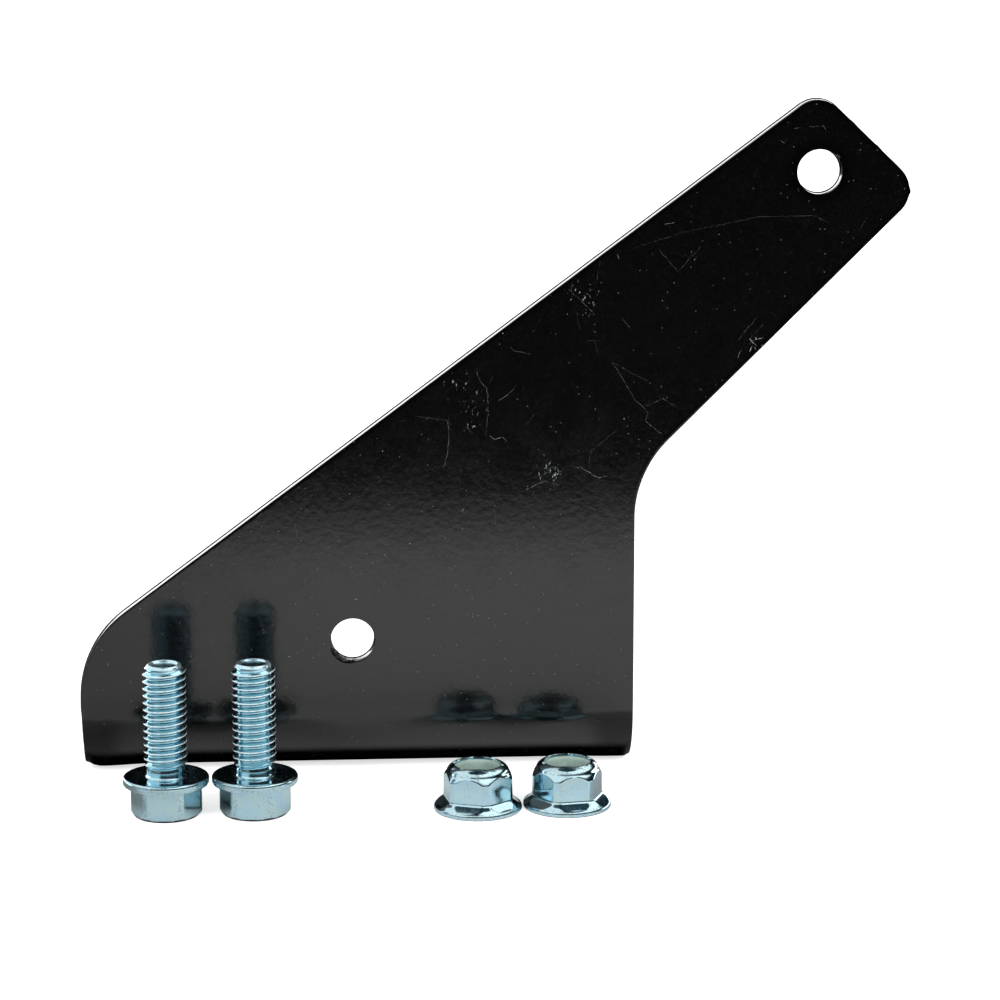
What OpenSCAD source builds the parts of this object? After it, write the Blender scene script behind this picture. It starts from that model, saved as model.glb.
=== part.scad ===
// Bent sheet-steel bracket for an ATV plow, with its two flange bolts and two flange lock nuts.
// Millimetres. +Z is up, +Y points behind the bracket, +X runs along its base toward the arm.
// The origin is the centre of the flange's flat underside.

/* [Bracket sheet] */
// Thickness of the sheet
sheet_t = 3.4; // [2.5:0.1:4.2]
// Width of the base, the bend and the flange
base_w = 125.7; // [116:0.1:136]
// Outside radius of the bend
bend_r = 14.9; // [8:0.1:17]
// Depth of the flange, from the upright's front face to its back edge
flange_d = 76.2; // [66:0.1:90]
// Radius of the flange's two back corners
flange_corner_r = 12.7; // [3:0.1:25]

/* [Bracket outline] */
// Height at which the long top edge would meet the left side
shoulder_h = 31.6; // [30:0.1:36]
// Height of the inner corner between the right side and the arm
armpit_h = 70; // [62:0.1:76]
// Slope of the arm's end edge, down to the right
end_slope = 43.6; // [40:0.1:48]
// Distance from the centre of the arm's hole to the long top edge
arm_top_gap = 14.5; // [12:0.1:17]
// Distance from the centre of the arm's hole to the arm's end edge
arm_end_gap = 12.9; // [11:0.1:16]
// Distance from the centre of the arm's hole to the arm's lower edge
arm_lower_gap = 19.2; // [14:0.1:22]
// Radius of the rounded shoulder at the left
shoulder_r = 25.4; // [10:0.1:26]
// Radius of the inner corner under the arm
armpit_r = 25.4; // [10:0.1:30]
// Radius of the arm's two end corners
arm_corner_r = 6.5; // [3:0.1:9]

/* [Bracket holes] */
// Diameter of the two bolt holes
hole_d = 10; // [9.8:0.1:10.6]
// Sideways place of the lower hole, from the middle of the base
lower_hole_x = -1.1; // [-20:0.1:20]
// Height of the lower hole
lower_hole_h = 32.1; // [26:0.1:45]
// Sideways place of the arm's hole, from the middle of the base
arm_hole_x = 103.4; // [100:0.1:108]
// Height of the arm's hole
arm_hole_h = 137.7; // [134:0.1:142]

/* [Fasteners] */
// Major diameter of the 3/8 inch thread
thread_d = 9.525; // [9.4:0.005:9.6]
// Width across the flats of the bolt heads and of the nuts
across_flats = 14.29; // [13.8:0.01:14.6]
// Length of the bolts under the head
bolt_l = 25.4; // [19:0.1:38.1]
// Height of the bolt head, flange included
head_h = 8.85; // [8:0.05:10]
// Thickness of the bolt head's flange
head_flange_t = 1.85; // [1.4:0.05:2.4]
// Diameter of the bolt head's flange
head_flange_d = 19; // [18:0.1:19.2]
// Diameter of the nut's flange
nut_flange_d = 19.6; // [18.6:0.1:19.6]
// Height of the nut's flange rim
nut_rim_h = 1.3; // [1:0.05:1.6]
// Height at which the nut's sloped flange meets its flats
nut_flat_bottom = 2.2; // [1.9:0.05:2.6]
// Height of the top of the nut's flats
nut_flat_top = 8.6; // [8:0.05:8.8]
// Overall height of the nut
nut_h = 10.45; // [10.3:0.05:10.8]
// Diameter of the opening in the nut's crimped lip
lip_d = 10.1; // [9.8:0.1:10.8]
// Minor diameter of the nut's thread
nut_minor_d = 8; // [7.8:0.01:8.16]
// Inside diameter of the nylon insert, which the thread bites into
insert_bore_d = 8.7; // [8.3:0.05:9.2]

/* [Where the fasteners stand] */
// Distance from the bracket's front face to the bolts' axes
bolt_row_y = 25.7; // [14:0.1:40]
// Distance from the bracket's front face to the left nut's axis
nut_left_y = 26.1; // [14:0.1:40]
// Distance from the bracket's front face to the right nut's axis
nut_right_y = 25; // [14:0.1:40]
// Sideways place of the left bolt
bolt_left_x = -42.9; // [-60:0.1:-42.9]
// Sideways place of the right bolt
bolt_right_x = -23.4; // [-23.4:0.1:10]
// Sideways place of the left nut
nut_left_x = 25.8; // [22:0.1:25.8]
// Sideways place of the right nut
nut_right_x = 45.7; // [45.7:0.1:60]

/* [Hidden] */

$fn = 96;
arc_steps = 16; // flats in each rounded corner of the sheet
over = 1; // how far a cutter reaches past the face that it cuts

// The origin sits at the centre of the flange's flat underside.
front_y = -(bend_r + flange_d) / 2;
half_w = base_w / 2;

// Corner points of the upright, before rounding.
function unit(v) = v / norm(v);
function along(angle) = [cos(angle), sin(angle)];
function cross2(a, b) = a[0] * b[1] - a[1] * b[0];
function meet(p, p_angle, q, q_angle) =
    p + along(p_angle) * cross2(q - p, along(q_angle)) / cross2(along(p_angle), along(q_angle));

// Slope of the line from p to q, and how far to turn it about p so that it misses q by gap.
function slope_to(p, q) = atan2(q[1] - p[1], q[0] - p[0]);
function slope_off(p, q, gap) = asin(gap / norm(q - p));

shoulder = [-half_w, shoulder_h];
armpit = [half_w, armpit_h];
lower_hole = [lower_hole_x, lower_hole_h];
arm_hole = [arm_hole_x, arm_hole_h];
top_slope = slope_to(shoulder, arm_hole) + slope_off(shoulder, arm_hole, arm_top_gap);
lower_slope = slope_to(armpit, arm_hole) - slope_off(armpit, arm_hole, arm_lower_gap);
arm_end = arm_hole + along(90 - end_slope) * arm_end_gap;
arm_top = meet(shoulder, top_slope, arm_end, -end_slope);
arm_tip = meet(armpit, lower_slope, arm_end, -end_slope);
foot_left = [-half_w, bend_r];
foot_right = [half_w, bend_r];

// Angles at which the four fasteners' flats face, turned from straight ahead.
bolt_left_angle = -5.6;
bolt_right_angle = -6;
nut_left_angle = -20;
nut_right_angle = 9;
left_bolt_at = [bolt_left_x, front_y - bolt_row_y];
right_bolt_at = [bolt_right_x, front_y - bolt_row_y];
left_nut_at = [nut_left_x, front_y - nut_left_y];
right_nut_at = [nut_right_x, front_y - nut_right_y];

// Bolt proportions.
hex_corner_r = across_flats / sqrt(3);
head_chamfer_angle = 37;
head_face_r = across_flats / 2 - 0.15;
rim_round = 0.5;
neck_round = 0.5;
tip_chamfer = 1;
tip_dish_r = 2.9;
tip_dish_depth = 0.35;
bolt_h = head_h + bolt_l;

// Nut proportions.
nut_slope_r = across_flats / 2 + 0.15;
nut_rim_round = 0.55;
nut_entry_chamfer = 0.8;
collar_round = 1.45;
collar_r = 6.95;
lip_t = 0.6;
pocket_r = 5.9;
pocket_bottom = 7.4;
pocket_top = nut_h - lip_t;
insert_chamfer = 0.35;
crimp_count = 6;
crimp_r = 0.35;

// The points of an arc of radius r that rounds a corner, from the side toward before to the
// side toward after. Works on outer and inner corners alike.
function rounded(before, corner, after, r) =
    let (
        to_before = unit(before - corner),
        to_after = unit(after - corner),
        half = acos(to_before * to_after) / 2,
        centre = corner + unit(to_before + to_after) * r / sin(half),
        first = corner + to_before * r / tan(half) - centre,
        last = corner + to_after * r / tan(half) - centre,
        start = atan2(first[1], first[0]),
        sweep = atan2(cross2(first, last), first * last)
    )
    [for (i = [0 : arc_steps]) centre + r * along(start + sweep * i / arc_steps)];

module upright() {
    outline = concat(
        [foot_left],
        rounded(foot_left, shoulder, arm_top, shoulder_r),
        rounded(shoulder, arm_top, arm_tip, arm_corner_r),
        rounded(arm_top, arm_tip, armpit, arm_corner_r),
        rounded(arm_tip, armpit, foot_right, armpit_r),
        [foot_right]
    );
    translate([0, front_y + sheet_t, 0]) rotate([90, 0, 0]) linear_extrude(sheet_t) polygon(outline);
}

// A quarter turn of the sheet, from the upright's foot to the flange's front edge.
module bend() {
    translate([half_w, front_y + bend_r, bend_r])
        rotate([0, -90, 0])
            rotate_extrude(angle = 90, start = 180)
                translate([bend_r - sheet_t, 0]) square([sheet_t, base_w]);
}

module flange() {
    front_left = [-half_w, front_y + bend_r];
    front_right = [half_w, front_y + bend_r];
    back_left = [-half_w, front_y + flange_d];
    back_right = [half_w, front_y + flange_d];
    outline = concat(
        [front_left, front_right],
        rounded(front_right, back_right, back_left, flange_corner_r),
        rounded(back_right, back_left, front_left, flange_corner_r)
    );
    linear_extrude(sheet_t) polygon(outline);
}

module sheet_hole(at) {
    translate([at[0], front_y + sheet_t + over, at[1]])
        rotate([90, 0, 0]) cylinder(d = hole_d, h = sheet_t + 2 * over);
}

module bracket_plate() {
    color("#151515") difference() {
        union() {
            upright();
            bend();
            flange();
        }
        sheet_hole(lower_hole);
        sheet_hole(arm_hole);
    }
}

// A hexagonal prism, one flat facing the front, whose corners a cone chamfers at both ends
// where chamfered_bottom or chamfered_top is set.
module hex_body(bottom, top, face_r, chamfered_bottom, chamfered_top) {
    drop = (hex_corner_r + over - face_r) * tan(head_chamfer_angle);
    intersection() {
        translate([0, 0, bottom]) cylinder(r = hex_corner_r, h = top - bottom, $fn = 6);
        union() {
            translate([0, 0, bottom + (chamfered_bottom ? drop : 0)])
                cylinder(r = hex_corner_r + over,
                         h = top - bottom - (chamfered_bottom ? drop : 0) - (chamfered_top ? drop : 0));
            if (chamfered_bottom)
                translate([0, 0, bottom]) cylinder(r1 = face_r, r2 = hex_corner_r + over, h = drop);
            if (chamfered_top)
                translate([0, 0, top - drop]) cylinder(r1 = hex_corner_r + over, r2 = face_r, h = drop);
        }
    }
}

// A round disc whose rim has both its edges rounded.
module round_rim_disc(r, bottom, top, round_r) {
    rotate_extrude() {
        translate([0, bottom]) square([r - round_r, top - bottom]);
        translate([0, bottom + round_r]) square([r, top - bottom - 2 * round_r]);
        translate([r - round_r, bottom + round_r]) circle(round_r);
        translate([r - round_r, top - round_r]) circle(round_r);
    }
}

// Stands on its head: hexagon below, flange above it, shank up.
module flange_bolt(at, turn) {
    shank_r = thread_d / 2;
    color("#a9c3cf") translate([at[0], at[1], 0]) rotate(turn) {
        hex_body(0, head_h - head_flange_t / 2, head_face_r, true, false);
        round_rim_disc(head_flange_d / 2, head_h - head_flange_t, head_h, rim_round);
        difference() {
            union() {
                cylinder(r = shank_r, h = bolt_h - tip_chamfer);
                translate([0, 0, bolt_h - tip_chamfer])
                    cylinder(r1 = shank_r, r2 = shank_r - tip_chamfer, h = tip_chamfer);
            }
            translate([0, 0, bolt_h - tip_dish_depth])
                cylinder(r1 = tip_dish_r - tip_dish_depth, r2 = tip_dish_r, h = tip_dish_depth);
        }
        // Fillet between the shank and the flange.
        rotate_extrude() difference() {
            translate([0, head_h - neck_round]) square([shank_r + neck_round, 2 * neck_round]);
            translate([shank_r + neck_round, head_h + neck_round]) circle(neck_round);
        }
    }
}

// Stands on its flange: sloped flange below, hexagon, then the collar rolled in over the insert.
module lock_nut(at, turn) {
    rim_r = nut_flange_d / 2;
    color("#a9c3cf") translate([at[0], at[1], 0]) rotate(turn) difference() {
        union() {
            round_rim_disc(rim_r, 0, nut_rim_h, nut_rim_round);
            translate([0, 0, nut_rim_h / 2])
                cylinder(r1 = rim_r - nut_rim_round, r2 = rim_r - nut_rim_round, h = nut_rim_h / 2);
            translate([0, 0, nut_rim_h])
                cylinder(r1 = rim_r - nut_rim_round, r2 = nut_slope_r, h = nut_flat_bottom - nut_rim_h);
            hex_body(nut_rim_h, nut_flat_top, across_flats / 2, false, true);
            cylinder(r = collar_r - collar_round / 2, h = nut_flat_top);
            translate([0, 0, nut_h - collar_round]) rotate_extrude() {
                translate([0, -collar_round]) square([collar_r - collar_round, 2 * collar_round]);
                translate([collar_r - collar_round, 0]) circle(collar_round);
            }
        }
        translate([0, 0, -over]) cylinder(d = nut_minor_d, h = nut_h + 2 * over);
        translate([0, 0, pocket_bottom]) cylinder(r = pocket_r, h = pocket_top - pocket_bottom);
        translate([0, 0, pocket_bottom]) cylinder(d = lip_d, h = nut_h);
        translate([0, 0, -over])
            cylinder(r1 = nut_minor_d / 2 + nut_entry_chamfer + over, r2 = nut_minor_d / 2,
                     h = nut_entry_chamfer + over);
        // The crimping tool's marks around the lip.
        for (i = [0 : crimp_count - 1])
            rotate(i * 360 / crimp_count)
                translate([lip_d / 2, 0, pocket_top]) cylinder(r = crimp_r, h = nut_h);
    }
}

module nylon_insert(at) {
    bore_r = insert_bore_d / 2;
    color("#c9d2c0") translate([at[0], at[1], 0]) difference() {
        translate([0, 0, pocket_bottom]) cylinder(r = pocket_r, h = pocket_top - pocket_bottom);
        translate([0, 0, pocket_bottom - over]) cylinder(r = bore_r, h = nut_h);
        translate([0, 0, pocket_top - insert_chamfer])
            cylinder(r1 = bore_r, r2 = bore_r + insert_chamfer + over, h = insert_chamfer + over);
    }
}

bracket_plate();
flange_bolt(left_bolt_at, bolt_left_angle);  // flange_bolt_left
flange_bolt(right_bolt_at, bolt_right_angle);  // flange_bolt_right
lock_nut(left_nut_at, nut_left_angle);  // lock_nut_left
lock_nut(right_nut_at, nut_right_angle);  // lock_nut_right
nylon_insert(left_nut_at);  // nylon_insert_left
nylon_insert(right_nut_at);  // nylon_insert_right
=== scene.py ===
# Bent sheet-steel bracket for an ATV plow, with two flange bolts and two flange lock nuts.
# Laid out as a Blender add-on and run as a script. Metres; +Z is up, +Y is behind the bracket.
import math
import random

import bmesh
import bpy
from bpy.props import FloatProperty, FloatVectorProperty, IntProperty, PointerProperty
from bpy.types import Operator, Panel, PropertyGroup
from mathutils import Matrix, Vector, noise


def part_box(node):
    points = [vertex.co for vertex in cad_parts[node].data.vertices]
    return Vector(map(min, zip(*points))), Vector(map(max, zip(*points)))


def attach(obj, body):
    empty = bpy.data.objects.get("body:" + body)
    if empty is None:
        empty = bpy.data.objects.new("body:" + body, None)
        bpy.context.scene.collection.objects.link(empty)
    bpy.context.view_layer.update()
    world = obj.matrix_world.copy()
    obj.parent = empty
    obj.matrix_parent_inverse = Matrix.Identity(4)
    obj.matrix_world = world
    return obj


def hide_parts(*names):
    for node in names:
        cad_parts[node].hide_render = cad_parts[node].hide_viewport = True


bl_info = {
    "name": "ATV plow bracket",
    "version": (1, 0, 0),
    "blender": (4, 5, 0),
    "location": "3D View > Sidebar > Plow bracket",
    "description": "A bent steel bracket with its flange bolts and lock nuts",
    "category": "Add Mesh",
}

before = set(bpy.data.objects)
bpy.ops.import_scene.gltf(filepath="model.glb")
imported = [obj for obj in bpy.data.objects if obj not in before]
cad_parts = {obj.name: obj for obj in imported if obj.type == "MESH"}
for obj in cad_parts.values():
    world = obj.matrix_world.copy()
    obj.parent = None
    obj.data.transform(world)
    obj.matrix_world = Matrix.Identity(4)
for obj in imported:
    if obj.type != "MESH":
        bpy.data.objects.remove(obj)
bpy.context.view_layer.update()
plate_low, plate_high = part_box("bracket_plate")

MM = 0.001
FRONT_Y = plate_low.y
HALF_WIDTH = -plate_low.x
THREAD_PITCH = 25.4 * MM / 16
THREAD_DEPTH = 0.977 * MM


# ---------------------------------------------------------------- sizes and finishes


def a_length(name, description, millimetres):
    return FloatProperty(name=name, description=description, default=millimetres * MM, unit="LENGTH")


def an_angle(name, description, degrees):
    return FloatProperty(name=name, description=description, default=math.radians(degrees), unit="ROTATION")


def a_pair(name, description, values, unit):
    return FloatVectorProperty(name=name, description=description, size=2, default=values, unit=unit)


def a_colour(name, description, rgb):
    return FloatVectorProperty(name=name, description=description, default=rgb, subtype="COLOR")


class BracketSizes(PropertyGroup):
    sheet: a_length("Sheet thickness", "Thickness of the coated sheet", 3.4)
    bend: a_length("Bend radius", "Outside radius of the bend", 14.9)
    shoulder_height: a_length(
        "Shoulder height", "Height at which the long top edge would meet the left side", 31.6
    )
    armpit_height: a_length("Armpit height", "Height of the inner corner under the arm", 70)
    end_slope: an_angle("Arm end slope", "Slope of the arm's end edge, down to the right", 43.6)
    top_gap: a_length("Hole to top edge", "From the arm's hole to the long top edge", 14.5)
    end_gap: a_length("Hole to end edge", "From the arm's hole to the arm's end edge", 12.9)
    lower_gap: a_length("Hole to lower edge", "From the arm's hole to the arm's lower edge", 19.2)
    large_round: a_length("Large corner radius", "Radius of the shoulder and of the armpit", 25.4)
    arm_round: a_length("Arm corner radius", "Radius of the arm's two end corners", 6.5)
    flange_round: a_length("Flange corner radius", "Radius of the flange's two back corners", 12.7)
    hole: a_length("Hole diameter", "Diameter of both bolt holes", 10)
    lower_hole: a_pair(
        "Lower hole", "Sideways place and height of the lower hole", (-1.1 * MM, 32.1 * MM), "LENGTH"
    )
    arm_hole: a_pair(
        "Arm hole", "Sideways place and height of the arm's hole", (103.4 * MM, 137.7 * MM), "LENGTH"
    )
    arris: a_length("Arris radius", "Rounding of the coated front edge", 0.08)
    burr: a_length("Burr", "Height of the burr along the back edge", 0.16)
    roll_width: a_length(
        "Roll-over width", "How far in from the cut edge the punched sheet rolls down", 0.6
    )
    roll_depth: a_length("Roll-over depth", "How far the sheet rolls down at its cut edge", 0.05)
    pinch: a_length("Bend pinch", "How far the left end of the bend draws in on its outside", 0.39)


class FastenerSizes(PropertyGroup):
    thread: a_length("Thread diameter", "Major diameter of the thread", 9.525)
    flats: a_length("Across flats", "Width across the flats of heads and nuts", 14.29)
    corners: a_length("Across corners", "Width across the rounded corners of heads and nuts", 15.6)
    head: a_length("Head height", "Height of the bolt head with its flange", 8.85)
    head_flange: a_length("Head flange diameter", "Diameter of the bolt head's flange", 19)
    nut_flange: a_length("Nut flange diameter", "Diameter of the nut's flange", 19.6)
    lip: a_length("Lip opening", "Diameter of the opening in the nut's rolled lip", 10.1)
    bolt_turn: a_pair(
        "Bolt turns",
        "How far the left and the right bolt are turned",
        (math.radians(-5.6), math.radians(-6)),
        "ROTATION",
    )
    nut_turn: a_pair(
        "Nut turns",
        "How far the left and the right nut are turned",
        (math.radians(-20), math.radians(9)),
        "ROTATION",
    )
    steps: IntProperty(
        name="Steps round", description="Steps in one turn of a fastener", default=144, min=48, step=12
    )


class Finishes(PropertyGroup):
    coat: a_colour("Powder coat", "Colour of the black powder coat", (0.0012, 0.0013, 0.0013))
    bare: a_colour("Scuffs", "Colour of scuffs and dust", (0.34, 0.37, 0.37))
    zinc: a_colour("Zinc", "Colour of the zinc plating", (0.46, 0.65, 0.71))
    nylon: a_colour("Nylon", "Colour of the nylon", (0.27, 0.36, 0.32))


class Studio(PropertyGroup):
    lens: FloatProperty(
        name="Lens", description="Focal length of the camera", default=123.41, unit="CAMERA"
    )
    camera_at: FloatVectorProperty(
        name="Camera",
        description="Where the camera stands",
        default=(-14.2 * MM, -797.5 * MM, 232 * MM),
        unit="LENGTH",
    )
    camera_down: an_angle("Look down", "How far the camera looks down", 12.56)
    camera_aside: an_angle("Look aside", "How far the camera turns toward the arm", 3.54)


# ---------------------------------------------------------------- working in sheet and round stock


def walk(start):
    """The vertices of a closed wire or of an open rim, in order."""
    ring, last, here = [start], None, start
    while True:
        open_edges = [e for e in here.link_edges if len(e.link_faces) < 2]
        ahead = [e.other_vert(here) for e in open_edges if e.other_vert(here) is not last]
        last, here = here, ahead[0]
        if here is start:
            return ring
        ring.append(here)


def edges_of(bm, ring):
    return [bm.edges.get((a, b)) for a, b in zip(ring, ring[1:] + ring[:1])]


def draw_outline(bm, corners, steps, spacing):
    """Draws a closed outline through rounded corners, its straight runs cut every spacing."""
    first = last = None
    for i, (corner, radius) in enumerate(corners):
        into = (corner - corners[i - 1][0]).normalized()
        out = (corners[(i + 1) % len(corners)][0] - corner).normalized()
        turn = math.atan2(into.x * out.y - into.y * out.x, into.dot(out))
        begin = corner - into * radius * math.tan(abs(turn) / 2)
        centre = begin + Vector((-into.y, into.x, 0)) * math.copysign(radius, turn)
        vert = bm.verts.new(begin)
        arc = bmesh.ops.spin(bm, geom=[vert], cent=centre, axis=(0, 0, 1), angle=turn, steps=steps)
        if last:
            bm.edges.new((last, vert))
        else:
            first = vert
        last = next(g for g in arc["geom_last"] if isinstance(g, bmesh.types.BMVert))
    bm.edges.new((last, first))
    for edge in [e for e in bm.edges if e.calc_length() > 2 * spacing]:
        bmesh.ops.subdivide_edges(bm, edges=[edge], cuts=int(edge.calc_length() / spacing))
    ring = walk(max(bm.verts, key=lambda v: v.co.x))
    area = sum(a.co.x * b.co.y - b.co.x * a.co.y for a, b in zip(ring, ring[1:] + ring[:1]))
    return ring if area > 0 else ring[::-1]


def inward_of(ring):
    """For each vertex of a ring, the step that draws every side in by one unit."""
    steps = []
    for before, here, after in zip(ring[-1:] + ring[:-1], ring, ring[1:] + ring[:1]):
        one = (here.co - before.co).normalized()
        two = (after.co - here.co).normalized()
        one, two = Vector((-one.y, one.x, 0)), Vector((-two.y, two.x, 0))
        steps.append((one + two) / (1 + one.dot(two)))
    return steps


def grow(bm, ring, inward, draw, lift):
    """Extrudes a ring once, draws the new ring in and lifts it."""
    made = bmesh.ops.extrude_edge_only(bm, edges=edges_of(bm, ring))["geom"]
    new = {g for g in made if isinstance(g, bmesh.types.BMVert)}
    after = []
    for vert, push in zip(ring, inward):
        twin = next(e.other_vert(vert) for e in vert.link_edges if e.other_vert(vert) in new)
        twin.co += push * draw + Vector((0, 0, lift))
        after.append(twin)
    return after


def grow_through(bm, ring, inward, profile, layer=None):
    """Grows a ring through a profile of (draw-in, height) points, the first being where it is.

    A third number in a point is what the layer holds there."""
    for (a, low, *_), (b, high, *more) in zip(profile, profile[1:]):
        ring = grow(bm, ring, inward, b - a, high - low)
        for vert in ring:
            if layer and more:
                vert[layer] = more[0]
    return ring


def slice_at(bm, place, normal, **more):
    """Cuts edges where a plane crosses the mesh."""
    everything = bm.verts[:] + bm.edges[:] + bm.faces[:]
    bmesh.ops.bisect_plane(bm, geom=everything, plane_co=place, plane_no=normal, **more)


def eased(x, low, high):
    t = min(max((x - low) / (high - low), 0), 1)
    return t * t * (3 - 2 * t)


def turned(bm, profile, steps):
    """Turns a closed round body from its profile of (radius, height) points in millimetres."""
    verts = [bm.verts.new((r * MM, 0, z * MM)) for r, z in profile]
    wire = [bm.edges.new(pair) for pair in zip(verts, verts[1:])]
    full = 2 * math.pi
    bmesh.ops.spin(
        bm, geom=verts + wire, cent=(0, 0, 0), axis=(0, 0, 1), angle=full, steps=steps, use_merge=True
    )
    bmesh.ops.remove_doubles(bm, verts=bm.verts, dist=2e-6)


def radius_of(vert):
    return math.hypot(vert.co.x, vert.co.y)


def draw_to(vert, radius):
    """Moves a vertex of a round body straight in or out to a radius."""
    share = radius / radius_of(vert)
    vert.co.x *= share
    vert.co.y *= share


def stand_at(bm, centre, turn):
    """Turns a fastener about its own axis and stands it where it belongs."""
    place = Matrix.Translation((centre.x, centre.y, 0)) @ Matrix.Rotation(turn, 4, "Z")
    bmesh.ops.transform(bm, matrix=place, verts=bm.verts)


def finish_piece(name, bm, material, body, node, sharp=32):
    """Makes the mesh a smooth piece with edges where it turns by more than sharp degrees."""
    bmesh.ops.recalc_face_normals(bm, faces=bm.faces)
    for face in bm.faces:
        face.smooth = True
    mesh = bpy.data.meshes.new(name)
    bm.to_mesh(mesh)
    bm.free()
    mesh.set_sharp_from_angle(angle=math.radians(sharp))
    mesh.materials.append(material)
    piece = bpy.data.objects.new(name, mesh)
    bpy.context.scene.collection.objects.link(piece)
    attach(piece, body)
    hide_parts(node)


# ---------------------------------------------------------------- materials


class Nodes:
    """A short way to lay out the node tree of a material or of the world."""

    def __init__(self, owner):
        owner.use_nodes = True
        self.tree = owner.node_tree
        self.tree.nodes.clear()

    def add(self, kind, **inputs):
        node = self.tree.nodes.new("ShaderNode" + kind)
        for key, value in inputs.items():
            self.feed(node.inputs[key.replace("_", " ")], value)
        return node

    def feed(self, socket, value):
        if isinstance(value, bpy.types.NodeSocket):
            self.tree.links.new(value, socket)
        else:
            socket.default_value = value

    def filled(self, kind, values, **settings):
        """A node with its settings made and the values in its first sockets."""
        node = self.add(kind)
        for name, setting in settings.items():
            setattr(node, name, setting)
        for socket, value in zip(node.inputs, values):
            self.feed(socket, value)
        return node

    def math(self, what, *values, clamp=False):
        return self.filled("Math", values, operation=what, use_clamp=clamp).outputs[0]

    def chain(self, what, first, *others):
        for other in others:
            first = self.math(what, first, other)
        return first

    def plus(self, *values):
        return self.chain("ADD", *values)

    def times(self, *values):
        return self.chain("MULTIPLY", *values)

    def most(self, *values):
        return self.chain("MAXIMUM", *values)

    def vector(self, what, *values):
        node = self.filled("VectorMath", values, operation=what)
        return node.outputs["Value" if what == "DISTANCE" else "Vector"]

    def attribute(self, name):
        return self.filled("Attribute", (), attribute_name=name).outputs["Fac"]

    def noise(self, where, scale, detail=2.0, roughness=0.5):
        node = self.add("TexNoise", Vector=where, Scale=scale, Detail=detail, Roughness=roughness)
        return node.outputs["Fac"]

    def spots(self, where, scale, core, rim, channel, low, high):
        """Round spots in scattered cells, in those with enough of a colour channel, from low to high."""
        cells = self.add("TexVoronoi", Vector=where, Scale=scale, Randomness=1.0)
        picked = self.add("SeparateColor", Color=cells.outputs["Color"]).outputs[channel]
        spot = self.ramp(cells.outputs["Distance"], core, rim, 1.0, 0.0)
        return self.times(spot, self.ramp(picked, low, high))

    def ramp(self, value, low, high, to_low=0.0, to_high=1.0):
        values = (value, low, high, to_low, to_high)
        return self.filled("MapRange", values, interpolation_type="SMOOTHSTEP").outputs[0]

    def mix(self, factor, one, two):
        """Mixes two colours, which a Mix node takes in its seventh and eighth sockets."""
        node = self.filled("Mix", (), data_type="RGBA")
        for socket, value in ((0, factor), (6, one), (7, two)):
            self.feed(node.inputs[socket], value)
        return node.outputs[2]

    def mapped(self, where, scale, turn=(0, 0, 0)):
        return self.add("Mapping", Vector=where, Scale=scale, Rotation=turn).outputs[0]

    def relief(self, shader, depth, height):
        """Roughens a shader's surface with a fine relief of the given depth."""
        bump = self.add("Bump", Strength=1.0, Distance=depth, Height=height)
        self.feed(shader.inputs["Normal"], bump.outputs[0])


def tinted(rgb, red=1.0, green=1.0, blue=1.0):
    """A colour as a node takes it, with its red, green and blue multiplied."""
    return (rgb[0] * red, rgb[1] * green, rgb[2] * blue, 1.0)


def new_material(name):
    material = bpy.data.materials.new(name)
    nodes = Nodes(material)
    shader = nodes.add("BsdfPrincipled")
    nodes.add("OutputMaterial", Surface=shader.outputs[0])
    place = nodes.add("TexCoord").outputs["Object"]
    return material, nodes, shader, place


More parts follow.
